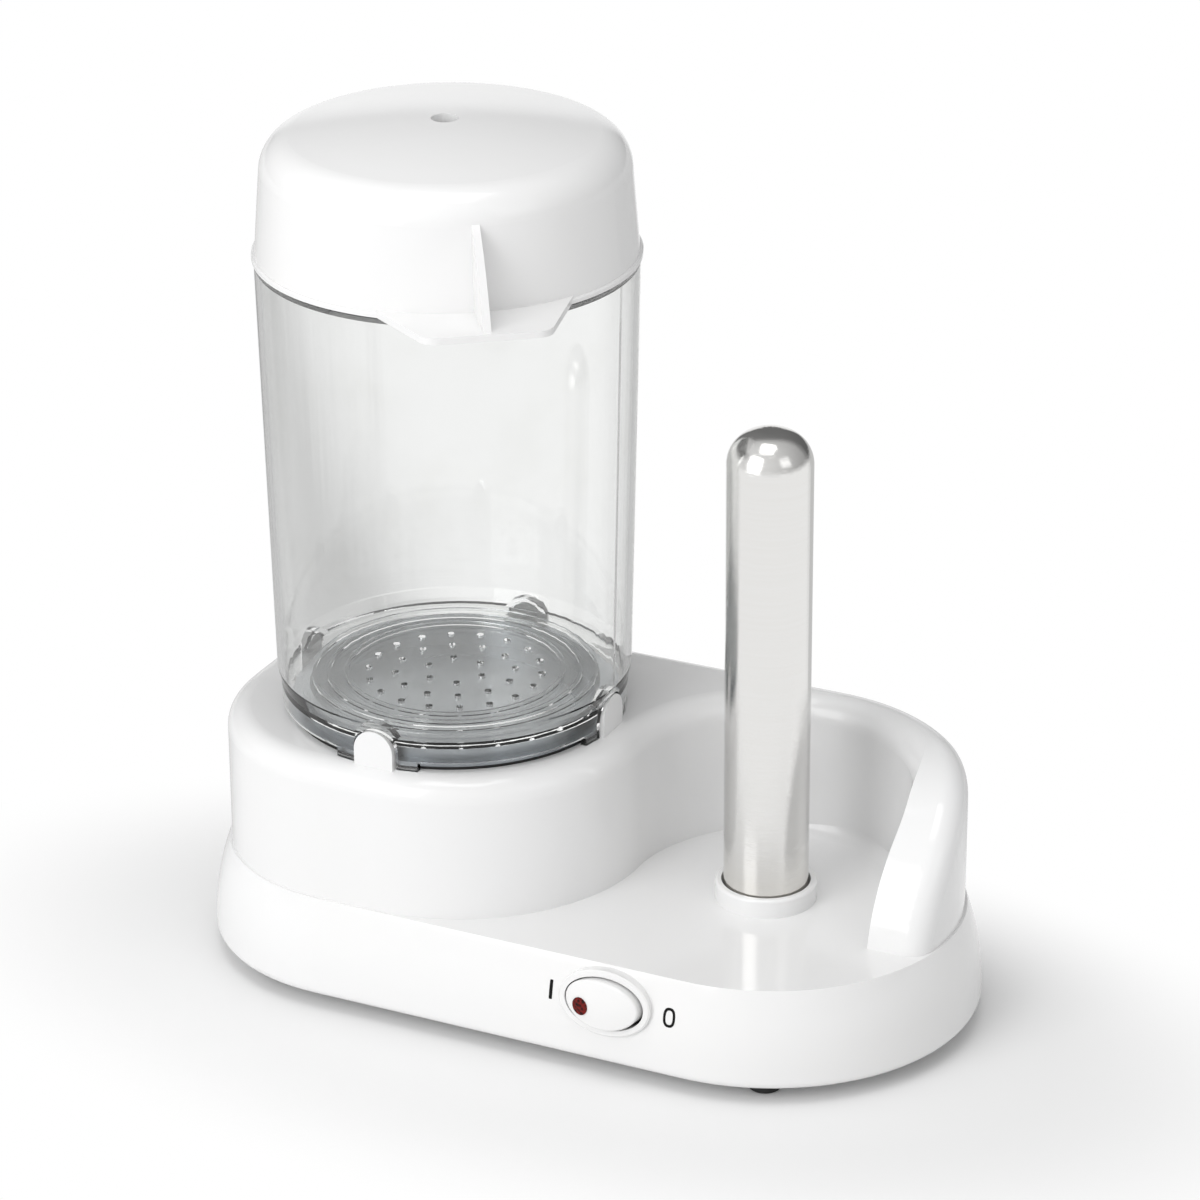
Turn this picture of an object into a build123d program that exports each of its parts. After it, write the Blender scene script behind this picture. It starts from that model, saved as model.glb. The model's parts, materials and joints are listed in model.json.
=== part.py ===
from build123d import *
import os
from math import asin, atan2, cos, degrees, hypot, radians, sin, sqrt

# Table-top hot dog maker: a steam tower with a clear container, a heated spike and one white housing.
# Millimetres, +Z up, the front faces -Y. The container is on the left and the spike on the right.
# Heights count from the table. The origin is the middle of the whole part's box, on the table.

# Joins and cuts
join = 0.5
beyond = 1.0
fit_gap = 0.1

# Housing
deck_length = 255.0
deck_depth = 130.0
left_corner = 56.0
rubber_foot_height = 5.0
skirt_height = 33.5
skirt_flare = 5.4
flare_depth = 30.0
skirt_edge_radius = 3.0
tower_height = 49.0
shell_wall = 2.5
block_step = 0.8
block_fillet = 7.8
jar_from_left = 75.0
tower_arc_from_left = 78.0
spike_from_right = 66.3
bay_back = 2.0
blend_radius = 5.0
blend_shift = 6.0
blend_turn = 75.0
arm_toe_front = 20.0
arm_arc = 60.0
arm_turn = 6.0

# Container
jar_height = 154.5
jar_foot_inset = 6.7
jar_wall = 2.0
jar_step = 1.4
jar_taper = 3.3
jar_band_height = 8.0
jar_band_step = 0.4
jar_step_height = 12.0
jar_leg = 3.2
jar_floor_under = 5.0
jar_floor = 2.6
jar_shoulder = 2.8
jar_neck_height = 7.0
jar_neck_wall = 1.6
notch_count = 4
tab_width = 14.0
tab_height = 12.6
tab_thickness = 3.2
tab_setback = 2.3
tab_clearance = 0.7
hood_wall = 1.6
leg_width = 7.0
rib_insets = (8.5, 13.5, 19.5)
rib_width = 1.2
rib_height = 1.2
steam_hole = 1.2
steam_row_radii = (10.0, 20.0, 29.0)
steam_row_counts = (6, 12, 18)

# Lid
lid_overhang = 0.7
lid_bead = 1.6
lid_bead_proud = 0.9
lid_wall = 1.7
lid_height = 45.0
lid_side_height = 38.4
lid_lean = 3.0
lid_fillet = 12.0
lid_gap = 0.6
lid_vent_radius = 4.5
lid_vent_wall = 1.3
lid_vent_depth = 3.4
lip_turn = -53.8
lip_root_depth = 9.9
lip_length = 18.9
lip_thickness = 2.2
lip_root_half = 31.5
lip_tip_half = 19.5
lip_corner = 6.0
web_thickness = 2.5
web_height = 30.0
web_setback = 2.0
web_bulge = 1.6

# Dish and its heater
dish_wall = 2.6
dish_floor = 3.0
dish_depth = 4.0
dish_rim_height = 6.4
flange_width = 3.7
flange_gap = 0.5
flange_thickness = 1.6
seal_thickness = 1.0
seal_width = 3.4
dish_hole_clearance = 0.9
ring_radius = 32.0
ring_tube = 3.3
ring_gap = 46.0
ring_leg = 12.0
pin_length = 4.5
dish_post = 14.0
dish_post_radius = 5.0
bracket_boss_gap = 1.3
bracket_width = 14.0
bracket_thickness = 1.5
bracket_boss_radius = 3.8
shield_radius = 44.0
shield_thickness = 0.8
shield_hole = 8.6
thermostat_radius = 8.0
thermostat_height = 7.0
thermostat_offset = 17.0
terminal_spacing = 7.0
blade_length = 5.5
blade_thickness = 0.8
blade_half = 2.0
fuse_radius = 2.2
fuse_length = 12.0
fuse_lead = 0.5
fuse_lead_bend = 1.5
fuse_lead_out = 3.0
fuse_lead_drop = 16.0

# Spike
spike_radius = 14.0
spike_wall = 1.0
spike_height = 165.0
spike_nose = 11.5
spike_flange = 19.0
spike_flange_thickness = 1.5
collar_radius = 16.8
collar_height = 6.5
collar_gap = 0.7
collar_step = 1.6
collar_edge = 1.0
clamp_drop = 7.0
clamp_radius = 26.0
clamp_thickness = 2.0
clamp_screws = 3
clamp_screw_circle = 22.5
clamp_boss_radius = 3.2
clamp_hole = 4.2
spike_rod_radius = 4.8
spike_rod_length = 112.0
spike_pin_spacing = 5.0
insulator_thickness = 8.0
lug_circle = 23.0
lug_turn = 150.0
lug_radius = 3.4
lug_head = 2.6
lug_overlap = 0.5
lug_thickness = 0.8
lug_barrel = 6.0
lug_barrel_wall = 0.4
nut_radius = 2.6
nut_height = 1.8

# Switch
switch_from_spike = 25.4
switch_drop = 11.5
boss_tilt = 6.0
boss_proud = 2.1
boss_margin = 2.9
boss_edge = 0.5
boss_root = 12.0
button_length = 26.6
button_height = 16.6
button_clearance = 0.7
button_proud = 3.2
button_depth = 7.5
button_dome = 38.0
button_edge = 0.8
button_wall = 1.9
rock_angle = 5.0
rock_drop = 5.0
rocker_pin_radius = 0.8
rocker_lug_radius = 1.9
rocker_lug_half = 3.9
rocker_ear = 2.0
ear_gap = 0.2
rocker_play = 0.5
lens_radius = 3.0
lens_place = 6.8
lens_drop = 1.7
lens_proud = 0.3
lamp_radius = 1.5
lamp_length = 4.8
lamp_tip = 1.2
switch_body_length = 24.0
switch_body_height = 13.0
switch_body_depth = 17.0
switch_rib = 2.0
switch_blade_width = 4.8

# Fasteners, inlet and bottom plate
plate_thickness = 2.5
plate_clearance = 0.4
plate_screw_left = 22.0
plate_screw_right = 26.0
plate_screw_inset = 27.0
boss_radius = 4.2
boss_hole_depth = 12.0
screw_shank = 1.25
screw_hole = 1.3
screw_clear = 1.6
screw_head = 3.1
screw_head_height = 2.0
screw_slot_half = 0.4
pole_screw_smaller = 1.0
screw_length = 9.0
foot_radius = 5.5
foot_edge = 1.0
foot_inset = 11.5
foot_left = 38.0
foot_right = 42.5
foot_stem = 2.4
foot_barb = 3.1
foot_barb_height = 1.5
vent_length = 40.0
vent_width = 3.0
vent_pitch = 9.0
tower_vents = 6
spike_vents = 4
inlet_x = -20.0
inlet_height = 20.0
inlet_hole = 6.0
inlet_cut = 20.0
inlet_bore = 3.6
inlet_collar = 9.0
inlet_collar_thickness = 2.2
inlet_pad_depth = 3.6
inlet_pad_margin = 1.2
inlet_pad_back = 2.6
inlet_nut_radius = 8.0
inlet_nut_thickness = 1.6
block_y = 30.0
block_length = 32.0
block_depth = 16.0
block_height = 11.0
block_poles = 4
pole_pitch = 8.0
wire_entry = 5.0
wire_radius = 1.0
wire_bend = 4.0
bend_share = 0.58
blade_lead = 9.0
pole_lead = 18.0
earth_lead = 7.0
fuse_wire_top = 6.0
fuse_wire_run = 28.0

# Places worked out from the sizes above
half_depth = deck_depth / 2
left_x = -deck_length / 2
right_x = deck_length / 2
skirt_bottom = rubber_foot_height
deck_z = skirt_bottom + skirt_height
tower_z = deck_z + tower_height
jar_x = left_x + jar_from_left
spike_x = right_x - spike_from_right
jar_z = tower_z + jar_leg
shoulder_z = jar_z + jar_height
lid_z = shoulder_z + lid_gap
plate_z = skirt_bottom
plate_top = plate_z + plate_thickness
block_half = half_depth - block_step
arc_x = left_x + tower_arc_from_left
bay_radius = hypot(spike_x - arc_x, bay_back) - block_half
jar_foot_radius = block_half - jar_foot_inset
tab_radius = jar_foot_radius - tab_setback
jar_base_radius = jar_foot_radius + jar_step
jar_top_radius = jar_base_radius + jar_taper
jar_neck_radius = jar_top_radius - jar_shoulder
flange_radius = tab_radius - flange_gap
dish_radius = flange_radius - flange_width
bracket_reach = dish_radius + dish_hole_clearance + bracket_boss_radius + bracket_boss_gap
dish_under = tower_z - dish_depth - dish_floor
bracket_z = dish_under - dish_post
bracket_under = bracket_z - bracket_thickness
tower_under = tower_z - shell_wall
deck_under = deck_z - shell_wall
flange_z = tower_z + seal_thickness
clamp_z = deck_under - clamp_drop
clamp_under = clamp_z - clamp_thickness
pin_z = clamp_z - pin_length
ring_z = dish_under - fit_gap - ring_tube
heater_pin_z = ring_z - ring_leg - pin_length
thermostat_pin_z = dish_under - thermostat_height - blade_length
fuse_z = dish_under - fit_gap - fuse_radius
fuse_end_z = fuse_z - fuse_lead_drop
switch_x = spike_x - switch_from_spike
switch_face = rock_drop + rocker_lug_radius + rocker_play
switch_back = switch_face + switch_body_depth
blade_end = switch_back + blade_length
entry_z = plate_top + wire_entry
inlet_pad_face = half_depth + inlet_pad_back
inlet_pad_inside = inlet_pad_face - inlet_pad_depth
floor_z = jar_z + jar_floor_under
floor_top = floor_z + jar_floor
lid_rim_radius = jar_top_radius + lid_overhang
lid_side_rim = lid_rim_radius - lid_bead_proud
lid_side_radius = lid_side_rim - lid_lean
lip_root = lid_rim_radius - lip_root_depth
lip_reach = lid_rim_radius + lip_length


def disc(radius, low, high, x=0.0, y=0.0):
    """An upright cylinder between two heights."""
    return Pos(x, y, low) * Cylinder(radius, high - low, align=(Align.CENTER, Align.CENTER, Align.MIN))


def ring(outer, inner, low, high, x=0.0, y=0.0):
    """An upright tube between two heights."""
    return disc(outer, low, high, x, y) - disc(inner, low - beyond, high + beyond, x, y)


def block(low, high):
    """A plain box between two corners."""
    size = [b - a for a, b in zip(low, high)]
    return Pos(*low) * Box(*size, align=(Align.MIN, Align.MIN, Align.MIN))


def bar_y(radius, front, back, x=0.0, z=0.0):
    """A round bar along Y between two places."""
    return Pos(x, back, z) * Rot(90, 0, 0) * Cylinder(
        radius, back - front, align=(Align.CENTER, Align.CENTER, Align.MIN)
    )


def about_jar(shape):
    """Moves a shape from the Z axis to the container's axis."""
    return Pos(jar_x, 0, 0) * shape


def around(shape, count, start=0.0):
    """Copies of a shape, evenly turned about the Z axis."""
    return [Rot(0, 0, start + 360 * i / count) * shape for i in range(count)]


def joined(shapes):
    """Several separate solids as one group."""
    return Compound([s for shape in shapes for s in shape.solids()])


def turned(*points):
    """Turns a face with straight sides, given as (radius, height) points, round the Z axis."""
    return revolve(Plane.XZ * make_face(Polyline(*points, close=True)), Axis.Z, 360)


def wire_along(points, radius=wire_radius, bend=wire_bend):
    """A round wire along straight runs joined by arcs."""
    runs = [hypot(*(b - a for a, b in zip(*pair))) for pair in zip(points, points[1:])]
    path = FilletPolyline(*points, radius=min(bend, min(runs) * bend_share))
    start = Plane(path @ 0, z_dir=path % 0)
    return sweep(start * Circle(radius), path=path)


def screw(x, y, under, length, head=screw_head):
    """A screw put in from below: its head lies under the height that is given."""
    shank = disc(screw_shank, under - join, under + length, x, y)
    return disc(head, under - screw_head_height, under, x, y) + shank


# Housing

def outline_face(inset=0.0):
    """The deck's rim: straight front and back, round corners on the left, a half circle on the right."""
    return make_face(outline_wire(inset))


def outline_wire(inset=0.0):
    """The edges round the deck's rim, drawn in by inset."""
    half = half_depth - inset
    corner = left_corner - inset
    cx = left_x + left_corner
    cy = half_depth - left_corner
    rx = right_x - half_depth
    edges = [
        Line((cx, -half), (rx, -half)),
        CenterArc((rx, 0), half, -90, 180),
        Line((rx, half), (cx, half)),
        CenterArc((cx, cy), corner, 90, 90),
        Line((cx - corner, cy), (cx - corner, -cy)),
        CenterArc((cx, -cy), corner, 180, 90),
    ]
    return Wire([e.edge() for e in edges])


def flare_arc():
    """The radius of the skirt's flare."""
    return (flare_depth**2 + skirt_flare**2) / (2 * skirt_flare)


def flare_at(depth):
    """How far the skirt stands out beyond the rim at a depth below the deck."""
    arc = flare_arc()
    return skirt_flare - arc + sqrt(arc**2 - (flare_depth - depth) ** 2)


def flare_section(inset, low):
    """The skirt's flare outside the rim, as a face square to the front edge. x is outwards, y is up."""
    centre = skirt_flare - flare_arc()
    radius = flare_arc() - inset
    top = -inset
    half_way = asin((flare_depth + top) / radius) / 2
    start = (centre + sqrt(radius**2 - (flare_depth + top) ** 2), top)
    middle = (centre + radius * cos(half_way), radius * sin(half_way) - flare_depth)
    end = (skirt_flare - inset, -flare_depth)
    inner = -inset - 2
    outer = ThreePointArc(start, middle, end)
    rest = Polyline(end, (end[0], low), (inner, low), (inner, top), start)
    return make_face(outer + rest)


def flared_solid(inset, low):
    """The skirt and deck as one solid, drawn in by inset, down to low below the deck."""
    core = Pos(0, 0, deck_z + low) * extrude(outline_face(inset), -low - inset)
    section = flare_section(inset, low)
    if inset == 0:
        corner = section.vertices().sort_by(Axis.X)[-2:].sort_by(Axis.Y)[0]
        section = fillet(corner, skirt_edge_radius)
    start = Plane((left_x + left_corner, -half_depth, deck_z), x_dir=(0, -1, 0), z_dir=(-1, 0, 0))
    path = Pos(0, 0, deck_z) * outline_wire()
    return core + sweep(start * section, path=path)


def bay_area(inset):
    """The plan of the open deck: round the tower, back round the bay, then out past the arm."""
    tower = block_half - inset
    bay = bay_radius + inset
    turn = degrees(atan2(bay_back, spike_x - arc_x))
    far = deck_depth
    out = radians(-arm_turn)
    last = (spike_x + bay * cos(out), bay_back + bay * sin(out))
    reach = (far + last[1]) / cos(out)
    front = (last[0] + reach * sin(out), -far)
    tower_arc = CenterArc((arc_x, 0), tower, -90, 90 + turn)
    bay_arc = CenterArc((spike_x, bay_back), bay, -arm_turn, 180 + turn + arm_turn)
    sides = Polyline(last, front, (arc_x, -far), (arc_x, -tower))
    return make_face(tower_arc + bay_arc + sides)


def arm_cut(inset):
    """The solid that slopes the arm off: an arc that rises from the toe and runs out level at the top."""
    top = tower_height - inset
    radius = arm_arc - inset
    centre_z = tower_height - arm_arc
    centre_y = sqrt(arm_arc**2 - centre_z**2) - arm_toe_front
    low = -shell_wall - 2
    low_y = centre_y - sqrt(radius**2 - (low - centre_z) ** 2)
    middle_z = (low + top) / 2
    middle_y = centre_y - sqrt(radius**2 - (middle_z - centre_z) ** 2)
    above = top + 5
    arc = ThreePointArc((low_y, low), (middle_y, middle_z), (centre_y, top))
    far = -deck_depth
    rest = Polyline((centre_y, top), (centre_y, above), (far, above), (far, low), (low_y, low))
    face = Plane((spike_x, 0, deck_z), x_dir=(0, 1, 0), z_dir=(1, 0, 0)) * make_face(arc + rest)
    return extrude(face, deck_length)


def rounded_top(plan, low, top, inset, side):
    """A plan pulled up to a top, sloped off along the arm, with its edges round except on the split."""
    body = Pos(0, 0, low) * extrude(plan, top - low)
    if side == "outer":
        body -= arm_cut(inset)
    edges = body.faces().sort_by(Axis.Z)[-1].edges()
    return fillet(edges.filter_by(GeomType.CIRCLE), block_fillet - inset)


def tower_block(inset):
    """Tower, wall round the bay and arm as one solid. Only the arm's inner edge is crisp."""
    low = deck_under - (beyond if inset else 0)
    top = tower_z - inset
    outline = outline_face(block_step + inset)
    far = deck_length
    left = outline & Pos(arc_x - far / 2, 0) * Rectangle(far, far)
    right = outline & Pos(arc_x + far / 2, 0) * Rectangle(far, far)
    front = Pos((arc_x + spike_x) / 2, -half_depth) * Rectangle(spike_x - arc_x, half_depth)
    wall = Pos(arc_x + far / 2, 0) * Rectangle(far, far) - bay_area(inset)
    left_half = rounded_top(left, low, top, inset, "inner")
    right_half = rounded_top(right + front, low, top, inset, "outer")
    right_half &= rounded_top(wall, low, top, inset, "inner")
    return left_half + right_half


def bay_blend():
    """Soft hollow between deck and wall at the bay's back that runs out to both sides."""
    way = radians(blend_turn)
    x = spike_x - blend_shift * cos(way)
    y = bay_back - blend_shift * sin(way)
    plug = disc(bay_radius + blend_shift, deck_z, deck_z + 2 * blend_radius, x, y)
    plug = fillet(plug.edges().group_by(Axis.Z)[0], blend_radius)
    return disc(bay_radius + join, deck_z - join, deck_z + blend_radius, spike_x, bay_back) - plug


def arch_face(width, height, low=0.0):
    """A doorway shape: straight sides and a round head."""
    half = width / 2
    straight = height - half
    head = ThreePointArc((half, straight), (0, height), (-half, straight))
    sides = Polyline((-half, straight), (-half, low), (half, low), (half, straight))
    return make_face(head + sides)


def arch(width, height, low, inner, outer):
    """A doorway shape cut outwards from a radius to another, on the front side of the container's axis."""
    face = Plane.XZ * arch_face(width, height, low)
    return Pos(0, -inner, tower_z) * extrude(face, outer - inner)


def tabs():
    """Four upright arched tabs that keep the container in its place."""
    tab = arch(tab_width, tab_height, -shell_wall / 2, tab_radius, tab_radius + tab_thickness)
    return [about_jar(t) for t in around(tab, notch_count)]


def plate_screw_places():
    """Where the bottom plate's screws and bosses stand."""
    x_left = left_x + plate_screw_left
    x_right = right_x - plate_screw_right
    y = half_depth - plate_screw_inset
    return [(x_left, -y), (x_left, y), (x_right, -y), (x_right, y)]


def foot_places():
    """Where the rubber feet stand: near the corners of the bottom plate."""
    y = half_depth - foot_inset
    x_left = left_x + foot_left
    x_right = right_x - foot_right
    return [(x_left, -y), (x_left, y), (x_right, -y), (x_right, y)]


def clamp_places():
    """Where the spike clamp's screws stand, round the spike."""
    angles = [radians(90 + 360 * i / clamp_screws) for i in range(clamp_screws)]
    return [(spike_x + clamp_screw_circle * cos(a), clamp_screw_circle * sin(a)) for a in angles]


def lug_place(radius):
    """A place beside the spike in the earth lug's direction."""
    return spike_x + radius * cos(radians(lug_turn)), radius * sin(radians(lug_turn))


def hollow_post(x, y, low, high, radius, depth):
    """A boss that hangs from the housing, with a blind screw hole from below."""
    return disc(radius, low, high + join, x, y) - disc(screw_hole, low - beyond, low + depth, x, y)


def upper_housing():
    """The white moulding: skirt, deck, tower, bay wall, tabs, bosses and openings."""
    body = flared_solid(0, -skirt_height) + tower_block(0) + bay_blend()
    boss = oval(button_length + 2 * boss_margin, button_height + 2 * boss_margin, 0, boss_root)
    boss = chamfer(boss.edges().group_by(Axis.Y)[0], boss_edge)
    body += switch_place * boss
    body -= flared_solid(shell_wall, -skirt_height - beyond)
    body -= tower_block(shell_wall)
    body -= about_jar(disc(dish_radius + dish_hole_clearance, tower_under - beyond, tower_z + beyond))
    for tab in tabs():
        body += tab
    for (x, y), top in zip(plate_screw_places(), (tower_under, tower_under, deck_under, tower_under)):
        body += hollow_post(x, y, plate_top, top, boss_radius, boss_hole_depth)
    for side in (-1, 1):
        y = side * bracket_reach
        body += hollow_post(jar_x, y, bracket_z, tower_under, bracket_boss_radius, screw_length)
    seat_low = clamp_z + spike_flange_thickness
    body += ring(spike_flange, collar_radius - collar_step + fit_gap, seat_low, deck_under + join, spike_x)
    for x, y in clamp_places():
        body += hollow_post(x, y, clamp_z, deck_under, clamp_boss_radius, clamp_drop)
    body -= disc(collar_radius - collar_step + fit_gap, deck_under - beyond, deck_z + beyond, spike_x)
    opening = (button_length + 2 * button_clearance, button_height + 2 * button_clearance)
    body -= switch_place * oval(*opening, -beyond, boss_root)
    near = switch_body_length / 2 + fit_gap
    rib_front = boss_y + switch_face
    rib_low = switch_z - switch_body_height / 3
    for low in (switch_x - near - switch_rib, switch_x + near):
        far = (low + switch_rib, rib_front + switch_body_depth, deck_under + join)
        body += block((low, rib_front, rib_low), far)
    pad_outside = half_depth + skirt_flare + 1
    pad = bar_y(inlet_collar + inlet_pad_margin, inlet_pad_inside, pad_outside, inlet_x, inlet_height)
    body += pad & flared_solid(0, -skirt_height)
    body -= bar_y(inlet_collar + fit_gap, inlet_pad_face, pad_outside + beyond, inlet_x, inlet_height)
    return body - bar_y(inlet_hole, half_depth - inlet_cut, half_depth + inlet_cut, inlet_x, inlet_height)


# Container and lid

def jar_outside():
    """The container's outer shape as a solid of revolution, with its foot on Z = 0."""
    return turned(
        (0, 0),
        (jar_foot_radius, 0),
        (jar_foot_radius + jar_band_step, jar_band_height),
        (jar_base_radius, jar_step_height),
        (jar_top_radius, jar_height),
        (jar_neck_radius, jar_height),
        (jar_neck_radius, jar_height + jar_neck_height),
        (0, jar_height + jar_neck_height),
    )


def jar_inside():
    """The container's inside above its floor, open at the neck."""
    low = jar_floor_under + jar_floor
    bore = jar_neck_radius - jar_neck_wall
    return turned(
        (0, low),
        (jar_foot_radius - jar_wall, low),
        (jar_base_radius - jar_wall, jar_step_height),
        (jar_top_radius - jar_wall, jar_height - jar_wall),
        (bore, jar_height),
        (bore, jar_height + jar_neck_height + beyond),
        (0, jar_height + jar_neck_height + beyond),
    )


def container():
    """Clear container: tapered wall, neck, pierced and ribbed floor, foot ring with notches and legs."""
    outside = Pos(0, 0, jar_z) * jar_outside()
    body = outside - Pos(0, 0, jar_z) * jar_inside()
    body -= disc(jar_foot_radius - jar_wall, jar_z - beyond, floor_z)
    hood_width = tab_width + 2 * (tab_clearance + hood_wall)
    hood_top = tab_height + tab_clearance + hood_wall
    notch_back = tab_radius - tab_clearance
    hood = arch(hood_width, hood_top, 0, notch_back - hood_wall, jar_foot_radius + beyond) & outside
    hood -= disc(jar_top_radius, tower_z - beyond, floor_z)
    notch_width = tab_width + 2 * tab_clearance
    notch = arch(notch_width, tab_height + tab_clearance, -beyond, notch_back, jar_top_radius + beyond)
    foot = ring(jar_foot_radius, jar_foot_radius - jar_wall, tower_z, jar_z + join)
    near = tab_width / 2 + tab_clearance
    for side in (-1, 1):
        low = min(side * near, side * (near + leg_width))
        far = (low + leg_width, -jar_foot_radius / 2, jar_z + join)
        leg = foot & block((low, -jar_top_radius, tower_z), far)
        for copy in around(leg, notch_count):
            body += copy
    for copy in around(hood, notch_count):
        body += copy
    for copy in around(notch, notch_count):
        body -= copy
    for inset in rib_insets:
        radius = jar_foot_radius - jar_wall - inset
        half = rib_width / 2
        body += ring(radius + half, radius - half, floor_top - join, floor_top + rib_height)
    hole = disc(steam_hole, floor_z - beyond, floor_top + beyond)
    for radius, count in zip(steam_row_radii, steam_row_counts):
        for copy in around(Pos(radius, 0, 0) * hole, count):
            body -= copy
    return about_jar(body)


def lid_solid(inset, low):
    """The lid's shape drawn in by inset: leaning side, round shoulder, flat dome. Its rim is at Z = 0."""
    rim = lid_side_rim - inset
    corner_r = lid_side_radius - inset
    corner_z = lid_side_height - inset
    apex = lid_height - inset
    sag = apex - corner_z
    dome = (corner_r**2 + sag**2) / (2 * sag)
    middle = (corner_r / 2, apex - dome + sqrt(dome**2 - (corner_r / 2) ** 2))
    arc = ThreePointArc((corner_r, corner_z), middle, (0, apex))
    rest = Polyline((0, apex), (0, low), (rim, low), (corner_r, corner_z))
    face = make_face(arc + rest)
    corner = face.vertices().sort_by_distance((corner_r, corner_z))[0]
    return revolve(Plane.XZ * fillet(corner, lid_fillet - inset), Axis.Z, 360)


def lid_lip():
    """The flat lip at the lid's rim, along +X, with two round corners at its tip."""
    face = make_face(
        Polyline(
            (lip_root, -lip_root_half),
            (lip_reach, -lip_tip_half),
            (lip_reach, lip_tip_half),
            (lip_root, lip_root_half),
            close=True,
        )
    )
    tips = face.vertices().group_by(Axis.X)[-1]
    return extrude(fillet(tips, lip_corner), lip_thickness)


def lid_web():
    """The upright web between the lip and the lid's side, along +X, with a slightly bowed edge."""
    tip = lip_reach - web_setback
    root = lid_side_radius - lid_wall / 2
    top = lid_side_rim - (lid_side_rim - lid_side_radius) * web_height / lid_side_height
    low = lip_thickness / 2
    run = hypot(tip - top, web_height - lip_thickness)
    middle = (
        (tip + top) / 2 + web_bulge * (web_height - lip_thickness) / run,
        (lip_thickness + web_height) / 2 + web_bulge * (tip - top) / run,
    )
    edge = ThreePointArc((tip, lip_thickness), middle, (top, web_height))
    rest = Polyline((top, web_height), (root, web_height), (root, low), (tip, low), (tip, lip_thickness))
    return Pos(0, web_thickness / 2, 0) * extrude(Plane.XZ * make_face(edge + rest), web_thickness)


def lid():
    """White lid: domed cap with a bead round its rim, a steam hole, and a lip with a web to lift it by."""
    rim = lid_rim_radius
    inner = lid_side_rim - lid_wall / 2
    slope = lid_bead_proud / 2
    bead = turned((inner, 0), (rim, 0), (rim, lid_bead - slope), (rim - slope, lid_bead), (inner, lid_bead))
    cap = lid_solid(0, 0) + bead + Rot(0, 0, lip_turn) * (lid_lip() + lid_web())
    cap -= lid_solid(lid_wall, -1)
    cap += disc(lid_vent_radius + lid_vent_wall, lid_height - lid_vent_depth, lid_height) & lid_solid(0, 0)
    cap -= disc(lid_vent_radius, lid_height / 2, lid_height + beyond)
    return about_jar(Pos(0, 0, lid_z) * cap)


# Dish and its heater

def heating_dish():
    """Metal water dish: flat floor, low wall, flange over the seal, and a threaded post below."""
    rim = tower_z + dish_rim_height
    inner = dish_radius - dish_wall
    floor = dish_under + dish_floor
    body = turned(
        (0, dish_under),
        (dish_radius, dish_under),
        (dish_radius, flange_z),
        (flange_radius, flange_z),
        (flange_radius, flange_z + flange_thickness),
        (dish_radius, flange_z + flange_thickness),
        (dish_radius, rim),
        (inner, rim),
        (inner, floor),
        (0, floor),
    )
    body += disc(dish_post_radius, bracket_z, dish_under + join)
    return about_jar(body - disc(screw_hole, bracket_z - beyond, bracket_z + screw_length))


def dish_seal():
    """Flat rubber ring between the dish's flange and the tower."""
    return about_jar(ring(flange_radius, flange_radius - seal_width, tower_z, flange_z))


def heater_ends():
    """Where the ring heater's two ends are, seen from the container's axis."""
    turns = [radians(180 - ring_gap / 2), radians(180 + ring_gap / 2)]
    return [(ring_radius * cos(a), ring_radius * sin(a)) for a in turns]


def dish_heater():
    """Tubular ring heater under the dish, with two ends that turn down to their pins."""
    start = Plane((ring_radius, 0, 0), z_dir=(0, 1, 0)) * Circle(ring_tube)
    arc = revolve(start, Axis.Z, 360 - ring_gap)
    body = Pos(0, 0, ring_z) * Rot(0, 0, 180 + ring_gap / 2) * arc
    for x, y in heater_ends():
        body += Pos(x, y, ring_z) * Sphere(ring_tube)
        body += disc(ring_tube, ring_z - ring_leg, ring_z, x, y)
        body += disc(wire_radius, heater_pin_z, ring_z - ring_leg + join, x, y)
    return about_jar(body)


def dish_bracket():
    """Steel strip across the tower's bosses that pulls the dish down on its seal."""
    reach = bracket_reach + bracket_boss_radius
    half = bracket_width / 2
    strip = block((-half, -reach, bracket_under), (half, reach, bracket_z))
    strip = fillet(strip.edges().filter_by(Axis.Z), bracket_boss_radius)
    for y in (-bracket_reach, 0, bracket_reach):
        strip -= disc(screw_clear, bracket_under - beyond, bracket_z + beyond, 0, y)
    return about_jar(strip)


def heat_shield():
    """Thin plate under the bracket with room for the heater's legs and the thermostat's terminals."""
    low = bracket_under - shield_thickness
    plate = disc(shield_radius, low, bracket_under)
    plate -= disc(screw_clear, low - beyond, bracket_under + beyond)
    plate -= disc(shield_hole, low - beyond, bracket_under + beyond, thermostat_offset)
    half = max(y for x, y in heater_ends()) + ring_tube + 2
    near = thermostat_offset - fuse_radius - 2
    slot = block((-shield_radius - beyond, -half, low - beyond), (-near, half, bracket_under + beyond))
    return about_jar(plate - slot)


def dish_screws():
    """Two screws in the tower's bosses and one in the dish's post."""
    sides = [screw(jar_x, y, bracket_under, screw_length - 1) for y in (-bracket_reach, bracket_reach)]
    return joined(sides + [screw(jar_x, 0, bracket_under - shield_thickness, screw_length - 1)])


def dish_thermostat():
    """Round thermostat under the dish with two blade terminals."""
    x = jar_x + thermostat_offset
    low = dish_under - thermostat_height
    body = disc(thermostat_radius, low, dish_under, x)
    for side in (-1, 1):
        near = x + side * terminal_spacing / 2 - blade_thickness / 2
        body += block((near, -blade_half, thermostat_pin_z), (near + blade_thickness, blade_half, low + join))
    return body


def fuse_ends():
    """Where the thermal fuse's two leads end."""
    y = fuse_length / 2 + fuse_lead_out
    x = jar_x - thermostat_offset
    return [(x, -y, fuse_end_z), (x, y, fuse_end_z)]


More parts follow.
